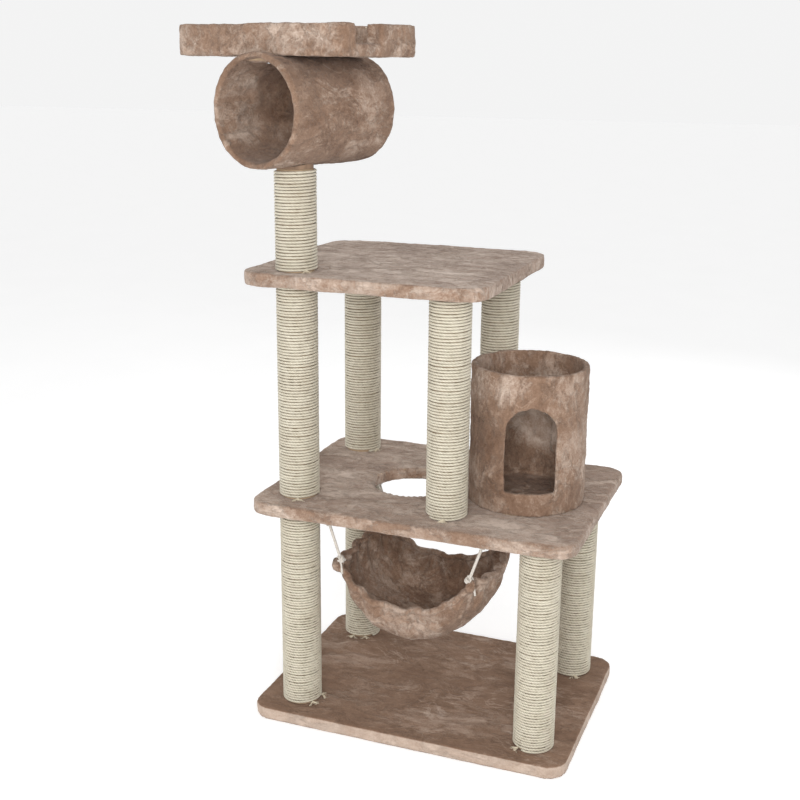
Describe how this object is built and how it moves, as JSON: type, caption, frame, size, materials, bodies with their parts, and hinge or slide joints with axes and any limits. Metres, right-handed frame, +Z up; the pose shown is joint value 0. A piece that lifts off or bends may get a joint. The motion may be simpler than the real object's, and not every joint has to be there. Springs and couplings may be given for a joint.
{
  "type": "cat tree",
  "caption": "Free-standing cat tree: sisal posts, plush decks, round drum condo, cord-hung hammock, and a swivelling tunnel topped by a rimmed tray.",
  "frame": {"origin": "centre of the base's underside, on the floor", "axes": "+Z up, +X to the side the condo stands on, +Y to the back, so -Y is the front"},
  "size_m": [0.8905, 0.6083, 1.5095],
  "materials": {
    "plush": "crushed plush pile",
    "base_plush": "crushed plush pile, darker",
    "hammock_plush": "soft short plush",
    "sisal": "twisted sisal rope",
    "cord": "braided cord",
    "foam": "open foam",
    "cardboard": "matte",
    "particle_board": "pressed chips, matte",
    "plug_wood": "bare",
    "zinc_steel": "zinc plated"
  },
  "bodies": {
    "frame": {"base_board": "particle_board", "base_bolts": "zinc_steel", "base_cover": "base_plush", "bolt_washers": "zinc_steel", "condo_cover": "plush", "condo_floor": "particle_board", "condo_screws": "zinc_steel", "condo_tube": "cardboard", "deck_drop_bolts": "zinc_steel", "deck_rise_bolts": "zinc_steel", "eye_screws": "zinc_steel", "joining_studs": "zinc_steel", "lower_back_left_plugs": "plug_wood", "lower_back_left_sisal": "sisal", "lower_back_left_tube": "cardboard", "lower_back_right_plugs": "plug_wood", "lower_back_right_sisal": "sisal", "lower_back_right_tube": "cardboard", "lower_front_left_plugs": "plug_wood", "lower_front_left_sisal": "sisal", "lower_front_left_tube": "cardboard", "lower_front_right_plugs": "plug_wood", "lower_front_right_sisal": "sisal", "lower_front_right_tube": "cardboard", "mid_board": "particle_board", "mid_cover": "plush", "post_inserts": "zinc_steel", "top_post_plugs": "plug_wood", "top_post_sisal": "sisal", "top_post_tube": "cardboard", "upper_back_left_plugs": "plug_wood", "upper_back_left_sisal": "sisal", "upper_back_left_tube": "cardboard", "upper_back_middle_plugs": "plug_wood", "upper_back_middle_sisal": "sisal", "upper_back_middle_tube": "cardboard", "upper_board": "particle_board", "upper_cover": "plush", "upper_front_left_plugs": "plug_wood", "upper_front_left_sisal": "sisal", "upper_front_left_tube": "cardboard", "upper_front_middle_plugs": "plug_wood", "upper_front_middle_sisal": "sisal", "upper_front_middle_tube": "cardboard"},
    "lookout": {"tunnel_tube": "cardboard", "tunnel_cover": "plush", "tunnel_saddle": "plug_wood", "tray_board": "particle_board", "tray_rim_foam": "foam", "tray_cover": "plush", "tray_screws": "zinc_steel", "lookout_bolt": "zinc_steel", "lookout_washer": "zinc_steel"},
    "cord_front_left": {"cord_front_left": "cord"},
    "cord_front_right": {"cord_front_right": "cord"},
    "cord_back_left": {"cord_back_left": "cord"},
    "cord_back_right": {"cord_back_right": "cord"},
    "hammock": {"hammock_cloth": "hammock_plush"}
  },
  "joints": [
    {"name": "lookout_swivel", "type": "hinge", "parent": "frame", "child": "lookout", "pos_m": [-0.27, -0.182, 1.229], "axis": [0, 0, 1], "continuous": true},
    {"name": "front_left_cord_swing", "type": "hinge", "parent": "frame", "child": "cord_front_left", "pos_m": [-0.205, -0.182, 0.4795], "axis": [1, 0, 0], "range_deg": [-20, 20]},
    {"name": "front_right_cord_swing", "type": "hinge", "parent": "frame", "child": "cord_front_right", "pos_m": [0.157, -0.182, 0.4795], "axis": [1, 0, 0], "range_deg": [-20, 20]},
    {"name": "back_left_cord_swing", "type": "hinge", "parent": "frame", "child": "cord_back_left", "pos_m": [-0.205, 0.11, 0.4795], "axis": [1, 0, 0], "range_deg": [-20, 20]},
    {"name": "back_right_cord_swing", "type": "hinge", "parent": "frame", "child": "cord_back_right", "pos_m": [0.157, 0.11, 0.4795], "axis": [1, 0, 0], "range_deg": [-20, 20]},
    {"name": "hammock_level", "type": "hinge", "parent": "cord_front_left", "child": "hammock", "pos_m": [-0.171, -0.182, 0.3765], "axis": [1, 0, 0], "range_deg": [-20, 20]}
  ],
  "couplings": [
    {"joint": "hammock_level", "follows": "front_left_cord_swing", "ratio": -1},
    {"joint": "front_right_cord_swing", "follows": "front_left_cord_swing", "ratio": 1},
    {"joint": "back_left_cord_swing", "follows": "front_left_cord_swing", "ratio": 1},
    {"joint": "back_right_cord_swing", "follows": "front_left_cord_swing", "ratio": 1}
  ]
}
